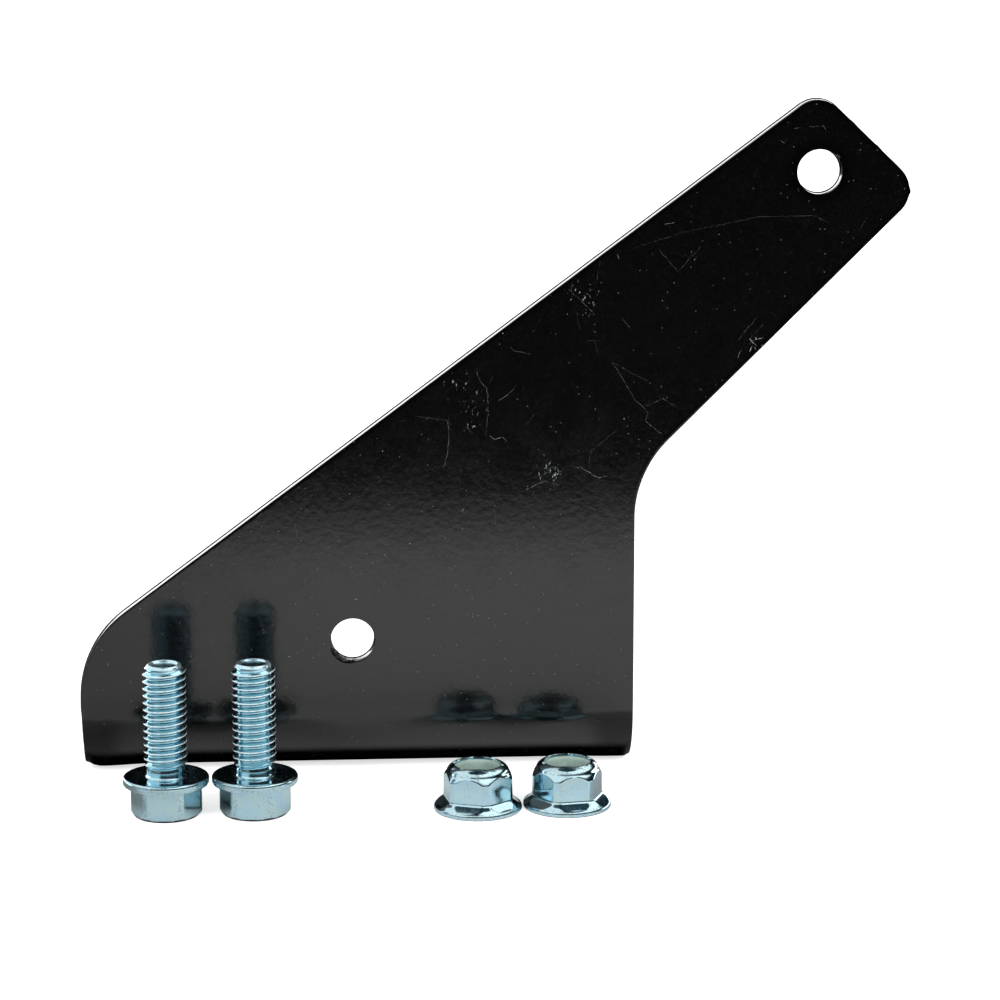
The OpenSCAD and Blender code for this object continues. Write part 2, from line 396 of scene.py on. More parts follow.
# Scratches in the front of the upright: (width, brightness, points as sideways place and height), all but
# the brightness in millimetres.
SCRATCHES = (
    (0.16, 0.9, (69, 126.2), (71, 126.8)),
    (0.2, 0.8, (58.4, 119.8), (58.8, 118.6)),
    (0.1, 0.22, (62, 121), (73, 124.5), (90, 127.8), (102, 128), (105.5, 126.5)),
    (0.12, 0.3, (67.5, 121), (72, 115.6), (77, 121.2)),
    (0.14, 0.6, (59.5, 105.4), (61.2, 103.3)),
    (0.15, 0.45, (47.5, 112), (50, 109.8), (53, 106.8)),
    (0.13, 0.4, (90, 105.4), (85.5, 99.8)),
    (0.1, 0.25, (91.6, 104), (88, 100)),
    (0.22, 1.0, (88.2, 100.4), (90, 98.6)),
    (0.25, 0.9, (89, 98.8), (88.3, 97.4)),
    (0.22, 0.9, (90, 100.2), (91.4, 100.6)),
    (0.2, 0.7, (86.5, 97.9), (85.7, 96)),
    (0.1, 0.25, (57.5, 95.4), (65.7, 90.8)),
    (0.14, 0.4, (57.5, 95.4), (62.6, 87), (65.7, 83.8)),
    (0.16, 0.5, (65.7, 83.8), (65, 82), (68.4, 78.9)),
    (0.13, 0.4, (65, 85.2), (69, 87), (72, 85)),
    (0.14, 0.55, (27, 94.3), (27.8, 91.3), (29.4, 89.8), (29.7, 86)),
    (0.12, 0.4, (29.7, 86), (29.5, 82.5), (29, 78.5)),
    (0.14, 0.45, (20.6, 83.3), (20.9, 79), (20.5, 75), (19.5, 71.4)),
    (0.2, 0.8, (30, 79), (31, 78.1), (32.8, 78.6), (33.9, 77.6)),
    (0.15, 0.6, (31.8, 86.9), (34, 88.2), (35.9, 90.2)),
    (0.12, 0.4, (34.6, 99), (35.6, 98.2), (39.2, 97.4)),
    (0.16, 0.6, (37.9, 66.2), (42.3, 68.5), (45.6, 67.4)),
    (0.18, 0.65, (41.4, 69.4), (43.6, 70.7), (42.2, 71.6)),
    (0.18, 0.65, (50.2, 71.7), (52, 70.4), (54.6, 69), (56.4, 69.4)),
    (0.1, 0.25, (58.3, 79.6), (53, 75.3), (52.3, 71.7)),
    (0.22, 0.8, (24.1, 62.4), (23.6, 61.3)),
    (0.1, 0.3, (13.6, 83.6), (21, 82.4)),
    (0.2, 0.45, (97.4, 147.3), (98.9, 147.6)),
    (0.2, 0.4, (100.9, 147.8), (104, 147.8), (104.5, 147)),
    (0.18, 0.4, (94.5, 144.8), (95.2, 144.3), (95.9, 144.8)),
    (0.12, 0.2, (114.3, 127.6), (112.4, 124.5)),
)
# Single bright specks: sideways place and height, in millimetres.
SPECKS = ((73.4, 119.2), (80.3, 125.5), (88.1, 111.5), (92.4, 110.9), (77, 108.6), (80.7, 107.1))
SPECKS += ((90.4, 119.2), (47.7, 95.3), (50.2, 96.9), (65.9, 97.2), (23.7, 57.6), (57.4, 52.9))
SPECKS += ((28.6, 26.9), (-38.1, 27.6))
# Rubbed patches with short flecks in them: (sideways place, height, radius), in millimetres.
SCUFFED_PATCHES = ((26.5, 83, 4.5), (24, 90, 5), (51, 110, 5), (89.8, 99, 2.2), (43, 70, 4))


def rubbed_flecks(nodes, place):
    """Short flecks on the front face, in the patches where something rubbed."""
    flat = nodes.vector("MULTIPLY", place, (1, 0, 1))
    patches = []
    for x, z, radius in SCUFFED_PATCHES:
        off = nodes.vector("DISTANCE", flat, (x * MM, 0, z * MM))
        patches.append(nodes.ramp(off, radius * 0.2 * MM, radius * MM, 1.0, 0.0))
    normal = nodes.add("NewGeometry").outputs["Normal"]
    faces_front = nodes.ramp(nodes.add("SeparateXYZ", Vector=normal).outputs["Y"], -0.9, -0.98)
    fleck = nodes.noise(nodes.mapped(place, (1, 1, 0.45), (0, 0.5, 0)), 1900, 3, 0.6)
    return nodes.times(nodes.ramp(fleck, 0.63, 0.7), nodes.most(*patches), faces_front)


def powder_coat(finishes):
    material, nodes, shader, place = new_material("black_powder_coat")
    # How open each spot is to rubbing: nothing on the rolled-down rims, full on the flats.
    rubbed = nodes.attribute("rub")
    # Where the coat is dull and lumpy.
    lumpy = nodes.attribute("dull")

    def specks(scale, size, share):
        return nodes.spots(place, scale, 0.4 * size, size, "Red", 1 - share, 1 - share + 0.01)

    # Dust: sparse bright specks and many faint ones.
    dust = nodes.most(specks(330, 0.05, 0.14), nodes.times(specks(800, 0.12, 0.25), 0.4))
    dust = nodes.times(dust, nodes.ramp(rubbed, 0.0, 0.5, 0.2, 0.8))
    worn = nodes.most(nodes.attribute("scratch"), rubbed_flecks(nodes, place), dust)
    gritty = nodes.noise(place, 2600, 2, 0.6)
    grain = nodes.times(nodes.ramp(gritty, 0.56, 0.78, 0.0, 0.016), rubbed)
    crumbs = nodes.times(nodes.ramp(gritty, 0.6, 0.7), lumpy, 0.35)
    worn = nodes.most(worn, grain, crumbs)

    deep = nodes.mix(rubbed, tinted(finishes.coat, 0.3, 0.3, 0.3), tinted(finishes.coat))
    base = nodes.mix(nodes.times(nodes.noise(place, 45), 0.5), deep, (0, 0, 0, 1))
    nodes.feed(shader.inputs["Base Color"], nodes.mix(worn, base, tinted(finishes.bare)))

    hazy = nodes.times(nodes.ramp(nodes.noise(place, 160, 5, 0.7), 0.35, 0.7), rubbed)
    # The coat's fine tooth: spots a hair wide that are duller than the rest.
    tooth = nodes.times(nodes.ramp(nodes.noise(place, 2300, 3, 0.65), 0.5, 0.68, 0.0, 0.08), rubbed)
    rough = nodes.plus(nodes.ramp(hazy, 0.0, 1.0, 0.1, 0.14), nodes.times(worn, 0.35), tooth)
    rough = nodes.math("ADD", rough, nodes.times(lumpy, 0.65), clamp=True)
    nodes.feed(shader.inputs["Roughness"], rough)
    shader.inputs["IOR"].default_value = 1.57
    peel = nodes.plus(nodes.noise(place, 620, 2, 0.45), nodes.times(nodes.noise(place, 1600), 0.25))
    nodes.relief(shader, 0.02 * MM, peel)
    return material


def zinc_plate(finishes):
    material, nodes, shader, place = new_material("zinc_plate")
    grime = nodes.attribute("grime")
    threaded = nodes.attribute("thread")
    # The thread's crests are painted pale and less metallic as a highlight line, here more and there less.
    crest = nodes.times(nodes.attribute("crest"), nodes.ramp(nodes.noise(place, 900), 0.35, 0.6, 0.55, 1.0))
    cloud = nodes.noise(place, 260, 3, 0.6)
    cool = tinted(finishes.zinc, 0.92, 0.97, 1.05)
    warm = tinted(finishes.zinc, 1.05, 1.02, 0.98)
    base = nodes.mix(nodes.ramp(cloud, 0.35, 0.65), cool, warm)
    base = nodes.mix(threaded, base, tinted(finishes.zinc, 0.86, 1.02, 1.08))
    base = nodes.mix(crest, base, (0.72, 0.8, 0.81, 1))
    # Small dull pits and smuts in the plating, more of them where it is worn.
    pits = nodes.spots(place, 2600, 0.1, 0.3, "Green", 0.93, 0.95)
    smut = nodes.ramp(nodes.plus(nodes.noise(place, 2300, 3, 0.6), nodes.times(grime, 0.2)), 0.6, 0.7)
    dull = nodes.most(nodes.times(pits, 0.7), nodes.times(smut, 0.35))
    base = nodes.mix(dull, base, (0.17, 0.165, 0.13, 1))
    black = nodes.ramp(grime, 0.7, 1.0)
    nodes.feed(shader.inputs["Base Color"], nodes.mix(black, base, (0.02, 0.025, 0.03, 1)))
    nodes.feed(shader.inputs["Metallic"], nodes.ramp(crest, 0.0, 1.0, 1.0, 0.4))
    rough = nodes.plus(nodes.ramp(cloud, 0.3, 0.7, 0.08, 0.15), nodes.times(threaded, 0.05))
    nodes.feed(shader.inputs["Roughness"], nodes.plus(rough, nodes.times(dull, 0.3)))
    forged = nodes.plus(nodes.noise(place, 420, 3, 0.55), nodes.times(nodes.noise(place, 4200), 0.1))
    nodes.relief(shader, 0.016 * MM, forged)
    return material


def nylon_plastic(finishes):
    material, nodes, shader, place = new_material("pale_nylon")
    cloud = nodes.noise(place, 500, 3)
    pale = tinted(finishes.nylon, 1.2, 1.2, 1.2)
    base = nodes.mix(nodes.ramp(cloud, 0.3, 0.7), tinted(finishes.nylon), pale)
    nodes.feed(shader.inputs["Base Color"], base)
    nodes.feed(shader.inputs["Roughness"], nodes.ramp(cloud, 0.3, 0.7, 0.3, 0.42))
    shader.inputs["Subsurface Weight"].default_value = 0.25
    shader.inputs["Subsurface Radius"].default_value = (0.6 * MM, 0.8 * MM, 0.6 * MM)
    shader.inputs["Subsurface Scale"].default_value = 1.0
    turning = nodes.noise(nodes.mapped(place, (1, 1, 8)), 700)
    nodes.relief(shader, 0.015 * MM, turning)
    return material


# ---------------------------------------------------------------- bracket


def point(x, s):
    return Vector((x, s, 0))


def meet(p, p_way, q, q_way):
    """Where the line through p meets the line through q."""
    cross = p_way.x * q_way.y - p_way.y * q_way.x
    gap = q - p
    return p + p_way * ((gap.x * q_way.y - gap.y * q_way.x) / cross)


def way(angle):
    return Vector((math.cos(angle), math.sin(angle), 0))


def blank_corners(sizes):
    """The corners of the flat blank and their radii. Up the blank is the upright, down is the flange."""
    shoulder = point(-HALF_WIDTH, sizes.shoulder_height)
    armpit = point(HALF_WIDTH, sizes.armpit_height)
    hole = point(*sizes.arm_hole)
    to_hole = hole - shoulder
    top = math.atan2(to_hole.y, to_hole.x) + math.asin(sizes.top_gap / to_hole.length)
    to_hole = hole - armpit
    lower = math.atan2(to_hole.y, to_hole.x) - math.asin(sizes.lower_gap / to_hole.length)
    end = hole + way(math.pi / 2 - sizes.end_slope) * sizes.end_gap
    arm_top = meet(shoulder, way(top), end, way(-sizes.end_slope))
    arm_tip = meet(armpit, way(lower), end, way(-sizes.end_slope))
    depth = plate_high.y - (FRONT_Y + sizes.bend)
    foot = sizes.bend - sizes.bend * math.pi / 2 - depth
    return [
        (point(-HALF_WIDTH, foot), sizes.flange_round),
        (point(HALF_WIDTH, foot), sizes.flange_round),
        (armpit, sizes.large_round),
        (arm_tip, sizes.arm_round),
        (arm_top, sizes.arm_round),
        (shoulder, sizes.large_round),
    ]


def rim_profiles(sizes, open_width, roll_width, roll_depth):
    """Profiles of (draw-in, height, openness) from a cut edge to the front face and to the back face."""

    def roll(u):
        return roll_depth * max(1 - u / roll_width, 0) ** 2

    arris = sizes.arris
    top = -roll(arris) - arris
    front = [(0, top, 0)]
    for i in range(1, 4):
        a = math.radians(30 * i)
        front.append((arris * (1 - math.cos(a)), top + arris * math.sin(a), 0))
    for u in (arris / MM + 0.03, 0.2, 0.3, 0.42, 0.6, 0.85, 1.2, 1.7, 2.3, 3):
        if u * MM < open_width:
            front.append((u * MM, -roll(u * MM), eased(u * MM, 0.15 * MM, open_width)))
    front.append((open_width, 0, 1))
    # Down the cut edge, round the burr that stands out at its foot, and in along the back, in millimetres.
    t, burr = sizes.sheet / MM, sizes.burr / MM
    back = [(0, top / MM, 0), (0, -0.5 * t, 0), (0, 0.42 - t, 0), (-0.85 * burr, 0.38 - t, 0)]
    back += [(-burr, 0.32 - t, 0), (-burr, 0.16 - t, 0), (-0.02, 0.03 - t, 0), (0.12, -t, 0)]
    back.append((open_width / MM, -t, 1))
    return front, [(u * MM, z * MM, openness) for u, z, openness in back]


def press_bend(bm, sizes):
    """Bends the flat blank along its bend line, as a press brake would."""
    radius = sizes.bend
    arc = radius * math.pi / 2
    # The sheet is strained from this height on the upright, and over this length of the flange.
    strained = radius + 2.2 * MM
    runs_out = 7 * MM
    for vert in bm.verts:
        x, s, depth = vert.co.x, vert.co.y, -vert.co.z
        outer = 1 - depth / sizes.sheet
        inboard = HALF_WIDTH - abs(x)
        past = max(radius - arc - s, 0)
        fade = 1 - eased(past, 0, runs_out)
        # The outside of the bend is stretched, so its left end draws in.
        if x < 0 and s < strained:
            drawn = (1 - math.exp((s - strained) / (4.5 * MM))) * fade
            x += sizes.pinch * drawn * (0.5 + 0.5 * outer) * eased(-x, 0.6 * HALF_WIDTH, HALF_WIDTH)
        if s >= radius:
            vert.co = Vector((x, FRONT_Y + depth, s))
            continue
        # Both ends bell out and are nipped at the foot, the left one more.
        sweep = min((radius - s) / radius, math.pi / 2)
        width, nip, flare = (2.1, 0.8, 0.38) if x < 0 else (1.0, 0.3, 0.2)
        foot = eased(sweep, 0.85, 1.3) * fade * outer
        depth += nip * MM * foot * max(1 - inboard / (width * MM), 0)
        bell = flare * MM * eased(sweep, 0.2, 1.1) * fade * (1 - eased(inboard, 4 * MM, 15 * MM))
        depth -= bell * eased(inboard, 0.25 * width * MM, 1.3 * width * MM)
        mid = Vector((x, FRONT_Y + radius, radius))
        out = Vector((0, -math.cos(sweep), -math.sin(sweep)))
        vert.co = mid + out * (radius - depth) + Vector((0, past, 0))
        vert.co.z = max(vert.co.z, 0.0)


def draw_scratch(bm, layer, points, width, brightness):
    """Lays one scratch on the front face as a thin broken strip that wanders along its points.

    It is given in millimetres, and drawn somewhat finer and fainter than given."""
    width_share, brightness_share = 0.68, 0.75
    spots = []
    for one, two in zip(points, points[1:]):
        one, two = Vector((*one, 0)), Vector((*two, 0))
        count = max(int((two - one).length / 0.3), 1)
        spots += [one.lerp(two, i / count) for i in range(count)]
    spots.append(Vector((*points[-1], 0)))
    edge = None
    for i, spot in enumerate(spots):
        run = (spots[min(i + 1, len(spots) - 1)] - spots[max(i - 1, 0)]).normalized()
        side = Vector((-run.y, run.x, 0))
        spot = spot + side * 0.22 * noise.noise(spot * 0.9) + side * 0.1 * noise.noise(spot * 3)
        # Other layers of the same noise vary its width and how bright it is.
        swell = noise.noise(spot * 2.3 + Vector((0, 0, 5)))
        glint = noise.noise(spot * 1.7 + Vector((0, 0, 9)))
        fade = min(i + 0.6, len(spots) - i - 0.4, 2) / 2
        wide = width_share * width * (0.65 + 0.7 * swell) * fade
        bright = brightness_share * brightness * min(max(0.6 + 1.7 * glint, 0.05), 1.2)
        ends = [(spot + side * wide * h) * MM + Vector((0, 0, 0.004 * MM)) for h in (0.5, -0.5)]
        if edge is None:
            pair = [bm.verts.new(end) for end in ends]
            edge = bm.edges.new(pair)
        else:
            made = bmesh.ops.extrude_edge_only(bm, edges=[edge])["geom"]
            new = {g for g in made if isinstance(g, bmesh.types.BMVert)}
            pair = [next(e.other_vert(v) for e in v.link_edges if e.other_vert(v) in new) for v in pair]
            edge = bm.edges.get(pair)
        for vert, end in zip(pair, ends):
            vert.co = end
            vert[layer] = bright


def draw_scratches(bm, layer):
    for width, brightness, *points in SCRATCHES:
        draw_scratch(bm, layer, points, width, brightness)
    for x, z in SPECKS:
        draw_scratch(bm, layer, [(x, z), (x + 0.3, z + 0.15)], 0.3, 1)
    # Faint short hairlines, scattered evenly over the upright.
    chance = random.Random(7)
    for _ in range(46):
        along = chance.uniform(0, 1)
        x, z = -50 + 150 * along, 26 + 92 * along + chance.uniform(-20, 26)
        turn, reach = chance.uniform(0, math.pi), chance.uniform(1.2, 5)
        if -56 < x < 60 and 18 < z < 34 + 0.75 * (x + 62):
            ends = [(x, z), (x + reach * math.cos(turn), z + reach * math.sin(turn))]
            draw_scratch(bm, layer, ends, 0.1, chance.uniform(0.08, 0.3))


# Small nibs of coating on cut edges: (sideways place, height, size, reach), all in millimetres.
NIBS = ((123.9, 133.2, 0.35, 0.7), (111.2, 148.1, 0.1, 0.6), (116.7, 142.7, 0.12, 0.8))


def cut_blank(bm, sizes, rub, dull):
    """Draws the blank's outline and grows its rims, and returns those on the front and on the back."""
    front, back = rim_profiles(sizes, 1.6 * MM, sizes.roll_width, sizes.roll_depth)
    edge = draw_outline(bm, blank_corners(sizes), 18, 0.9 * MM)
    inward = inward_of(edge)
    nibs = [(point(x * MM, z * MM), size * MM, reach * MM) for x, z, size, reach in NIBS]
    for vert, push in zip(edge, inward):
        wave = noise.noise(vert.co * 180) * 0.02 * MM
        nib = sum(size * math.exp(-(((vert.co - at).length / reach) ** 2)) for at, size, reach in nibs)
        vert.co += push * (0.02 * MM + wave - nib) + Vector((0, 0, front[0][1]))
    front_edge = grow_through(bm, edge, inward, front, rub)
    back_edge = grow_through(bm, edge, inward, back, rub)

    # A dull streak of coating runs round the armpit's cut edge.
    streak = point(HALF_WIDTH + 1 * MM, 71 * MM)
    inner_rims = {*front_edge, *back_edge}
    for vert in bm.verts:
        if vert not in inner_rims and vert.co.z < -0.01 * MM:
            vert[dull] = 1 - eased((vert.co - streak).xy.length, 2.5 * MM, 4.5 * MM)
    return front_edge, back_edge


def punch_hole(bm, sizes, hole, open_width, lumps, rub, dull):
    """Grows a punched hole's rims and wall, and returns the rims on the front and on the back."""
    front, back = rim_profiles(sizes, open_width, 0.7 * MM, 0.05 * MM)
    centre = point(*hole)
    outer = sizes.hole / 2 + front[-1][0]
    start = bmesh.ops.create_circle(bm, segments=96, radius=outer, matrix=Matrix.Translation(centre))
    ring = walk(start["verts"][0])
    outward = [(v.co - centre).normalized() for v in ring]
    for vert in ring:
        vert[rub] = 1
    wall = grow_through(bm, ring, outward, front[::-1], rub)
    back_ring = grow_through(bm, wall, outward, back, rub)

    # Dull lumps of coating sit on the rim, most of them near its front.
    lumps_at, spread, size = lumps
    for vert in bm.verts:
        off = (vert.co - centre).xy.to_3d()
        if off.length < sizes.hole * 0.6:
            angle = math.degrees(math.atan2(off.y, off.x)) % 360
            near = math.exp(-(((angle - lumps_at) / spread) ** 4))
            lump = 0.5 + 0.9 * noise.noise(vert.co * 1400)
            close = 1 - eased(off.length, sizes.hole * 0.52, sizes.hole * 0.56)
            shallow = max(1 + vert.co.z / sizes.sheet, 0)
            vert.co -= off.normalized() * size * MM * near * lump * close * shallow
            vert.co.z -= 0.3 * MM * near * close * shallow**4
            vert[dull] = near * close if vert not in ring else 0
    return ring, back_ring


def cut_for_bend(bm, sizes):
    """Cuts the flat blank into strips where the bend and its shaped ends need them."""
    arc = sizes.bend * math.pi / 2
    cuts = [sizes.bend - arc * i / 28 for i in range(29)]
    cuts += [sizes.bend - arc - i * 1.5 * MM for i in range(1, 6)]
    for s in cuts:
        slice_at(bm, (0, s, 0), (0, 1, 0))
    for side in (-1, 1):
        for inboard in (4, 5.5, 7.5, 10, 13, 20):
            slice_at(bm, (side * (HALF_WIDTH - inboard * MM), 0, 0), (1, 0, 0))


class OBJECT_OT_plow_bracket(Operator):
    """Cuts, punches, bends and coats the bracket"""

    bl_idname = "object.plow_bracket"
    bl_label = "Bracket"

    def execute(self, context):
        sizes = context.scene.plow_bracket_sizes
        bm = bmesh.new()
        rub = bm.verts.layers.float.new("rub")
        scratch = bm.verts.layers.float.new("scratch")
        dull = bm.verts.layers.float.new("dull")
        draw_scratches(bm, scratch)
        rims = [cut_blank(bm, sizes, rub, dull)]
        # Each hole's lumps of coating: the angle where they sit, their spread in degrees and their
        # size in millimetres. The lower hole has them at its lower left, the arm's at its upper right.
        for hole, open_width, lumps in (
            (sizes.lower_hole, 1 * MM, (226, 32, 0.85)),
            (sizes.arm_hole, 3.4 * MM, (38, 5, 0.4)),
        ):
            rims.append(punch_hole(bm, sizes, hole, open_width, lumps, rub, dull))
        for face_rims in zip(*rims):
            edges = [e for ring in face_rims for e in edges_of(bm, ring)]
            bmesh.ops.triangle_fill(bm, use_beauty=True, edges=edges)
        bmesh.ops.remove_doubles(bm, verts=bm.verts, dist=1e-6)
        bmesh.ops.recalc_face_normals(bm, faces=bm.faces)
        cut_for_bend(bm, sizes)
        press_bend(bm, sizes)
        coat = powder_coat(context.scene.plow_finishes)
        finish_piece("coated_bracket", bm, coat, "bracket", "bracket_plate")
        return {"FINISHED"}


# ---------------------------------------------------------------- bolts


def off_middle(angle):
    """How far an angle is from the middle of the nearest of a hexagon's six sides."""
    return abs((angle + math.pi / 6) % (math.pi / 3) - math.pi / 6)


def hexagon(angle, flats, corners):
    """How far out a hexagon with cut corners reaches, at an angle from the middle of a side."""
    angle = off_middle(angle)
    return min(flats / 2 / math.cos(angle), corners / 2 / math.cos(math.pi / 6 - angle))


def angle_of(vert):
    """A vertex's angle round its fastener, from the middle of the side that faces the front."""
    return math.atan2(vert.co.y, vert.co.x) + math.pi / 2


def cut_flats(bm, sizes, low, high, reach):
    """Draws every vertex between two heights in to a hexagon, its corners cut off.

    Grime is left at the corners and along the foot."""
    grime = bm.verts.layers.float["grime"]
    for vert in bm.verts:
        radius = radius_of(vert)
        if low <= vert.co.z <= high and 1e-6 < radius <= reach:
            angle = angle_of(vert)
            limit = hexagon(angle, sizes.flats, sizes.corners)
            if radius > limit:
                draw_to(vert, limit)
                corner = 0.6 * eased(off_middle(angle), math.radians(20), math.radians(29))
                vert[grime] = max(corner, 1 - eased(vert.co.z, 0.4 * MM, 0.8 * MM))
            elif vert.co.z < 1.2 * MM:
                vert[grime] = 1


def roll_thread(bm, major, low, high, tip, steps):
    """A rolled thread from low to high, running out into the neck below and chamfered at the tip."""
    pitch = THREAD_PITCH
    crest, root = major / 2, major / 2 - THREAD_DEPTH
    # One side of a thread from its foot to its crest: (share of the pitch from the crest, radius).
    flank = [(0.43, root + 0.01 * MM), (0.37, root + 0.07 * MM), (0.11, crest - 0.13 * MM)]
    flank += [(0.072, crest - 0.04 * MM), (0.038, crest - 0.008 * MM)]
    shape = [(-0.5, root)] + [(-at, radius) for at, radius in flank] + [(0.0, crest)] + flank[::-1]
    turns = int((high - low) / pitch) + 4
    verts = []
    for k in range(turns):
        for at, radius in shape:
            verts.append(bm.verts.new((radius, 0, low + (k - 2 + at) * pitch)))
    wire = [bm.edges.new(pair) for pair in zip(verts, verts[1:])]
    bmesh.ops.spin(
        bm,
        geom=verts + wire,
        cent=(0, 0, 0),
        axis=(0, 0, 1),
        dvec=(0, 0, pitch / steps),
        angle=2 * math.pi,
        steps=steps,
    )
    bmesh.ops.remove_doubles(bm, verts=bm.verts, dist=5e-6)
    crown = 0.3 * MM
    for z, normal in ((low, -1), (high - crown, 1)):
        slice_at(bm, (0, 0, z), (0, 0, normal), clear_outer=True)
    neck = 4.28 * MM
    full_from, full_over, chamfer = low + 0.9 * MM, 1.9 * pitch, 0.85
    for vert in bm.verts:
        radius = radius_of(vert)
        wanted = neck + (radius - neck) * eased(vert.co.z, full_from, full_from + full_over)
        draw_to(vert, min(wanted, tip + (high - crown - vert.co.z) * chamfer))
    # The tip is a rounded crown round a shallow dish. The foot stays hidden in the head.
    rims = [v for v in bm.verts if any(len(e.link_faces) == 1 for e in v.link_edges)]
    ring = walk(max(rims, key=lambda v: v.co.z))
    inward = [-v.co.xy.to_3d().normalized() for v in ring]
    dish = [(0, -0.3), (0.06, -0.2), (0.15, -0.1), (0.28, -0.03), (0.45, 0), (0.6, -0.01), (0.75, -0.06)]
    dish += [(0.88, -0.15), (0.98, -0.27), (1.08, -0.36), (1.25, -0.42), (1.6, -0.45), (2.2, -0.46)]
    dish.append((3.1, -0.47))
    tip_ring = grow_through(bm, ring, inward, [(a * MM, b * MM) for a, b in dish])
    foot_ring = walk(min(rims, key=lambda v: v.co.z))
    for loop in (tip_ring, foot_ring):
        bmesh.ops.edgeloop_fill(bm, edges=edges_of(bm, loop))


def head_profile(rim, under, head, face, wide):
    """Half the outline of a bolt head, from its foot up, in millimetres.

    The flange lies between the heights under and head. The foot's chamfer runs from the radius face to
    the radius wide, past the hexagon's corners."""
    profile = [(0, 0), (3, 0), (face - 0.5, 0), (face - 0.12, 0.02)]
    profile += [(min(face + z, wide), z) for z in (0.1, 0.25, 0.4, 0.55, 0.7, 0.85, 1.0, 1.15)]
    profile += [(wide, z) for z in (3, 5, 6.6, under - 0.03)]
    profile += [(wide + 0.12, under + 0.02), (rim - 0.45, under), (rim - 0.18, under + 0.1)]
    profile += [(rim - 0.03, under + 0.32), (rim, under + 0.6), (rim, head - 0.62)]
    profile += [(rim - 0.04, head - 0.36), (rim - 0.16, head - 0.15), (rim - 0.34, head - 0.03)]
    profile += [(rim - 0.55, head), (rim - 1.4, head - 0.01), (6.6, head - 0.05), (5.2, head - 0.07)]
    profile += [(4.85, head - 0.04), (4.58, head + 0.06), (4.4, head + 0.24), (4.31, head + 0.5)]
    profile += [(4.2, head + 0.52), (0, head + 0.52)]
    return profile


class OBJECT_OT_plow_bolts(Operator):
    """Turns, forges, threads and plates the two flange bolts"""

    bl_idname = "object.plow_bolts"
    bl_label = "Flange bolts"

    def execute(self, context):
        sizes = context.scene.plow_fastener_sizes
        zinc = zinc_plate(context.scene.plow_finishes)
        for side, turn in zip(("left", "right"), sizes.bolt_turn):
            node = f"flange_bolt_{side}"
            low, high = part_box(node)
            bm = self.head(sizes)
            self.shank(bm, sizes, high.z)
            stand_at(bm, (low + high) / 2, turn)
            finish_piece(f"zinc_bolt_{side}", bm, zinc, f"bolt_{side}", node, sharp=27)
        return {"FINISHED"}

    def head(self, sizes):
        rim = sizes.head_flange / 2
        under = sizes.head - 1.85 * MM
        face = sizes.flats / 2 - 0.15 * MM
        wide = sizes.flats / math.sqrt(3) + 0.2 * MM
        bm = bmesh.new()
        grime = bm.verts.layers.float.new("grime")
        bm.verts.layers.float.new("thread")
        bm.verts.layers.float.new("crest")
        bounds = (rim, under, sizes.head, face, wide)
        turned(bm, head_profile(*(size / MM for size in bounds)), sizes.steps)
        cut_flats(bm, sizes, 0.05 * MM, under, wide + 0.05 * MM)
        for vert in bm.verts:
            if radius_of(vert) > rim - 0.3 * MM:
                vert[grime] = 0.45 + 0.5 * noise.noise(vert.co * 300)
            elif vert.co.z < 0.05 * MM:
                vert[grime] = 1
        return bm

    def shank(self, bm, sizes, top):
        """Adds the threaded shank, with its crests and the chamfer of its tip painted pale as a highlight.
        """
        head, reach = sizes.head, sizes.thread / 2
        shank = bmesh.new()
        roll_thread(shank, sizes.thread, head + 0.1 * MM, top, 3.82 * MM, 72)
        mesh = bpy.data.meshes.new("shank")
        shank.to_mesh(mesh)
        shank.free()
        bm.from_mesh(mesh)
        bpy.data.meshes.remove(mesh)
        thread = bm.verts.layers.float["thread"]
        crest = bm.verts.layers.float["crest"]
        for vert in bm.verts:
            radius = radius_of(vert)
            vert[thread] = eased(vert.co.z, head, head + 1 * MM) * (1 - eased(radius, 5.2 * MM, 5.6 * MM))
            chamfer = eased(vert.co.z, top - 1.1 * MM, top - 0.8 * MM) * eased(radius, 2.2 * MM, 2.9 * MM)
            pale = max(eased(radius, reach - 0.13 * MM, reach - 0.02 * MM), 0.45 * chamfer)
            vert[crest] = pale * vert[thread]


# ---------------------------------------------------------------- nuts


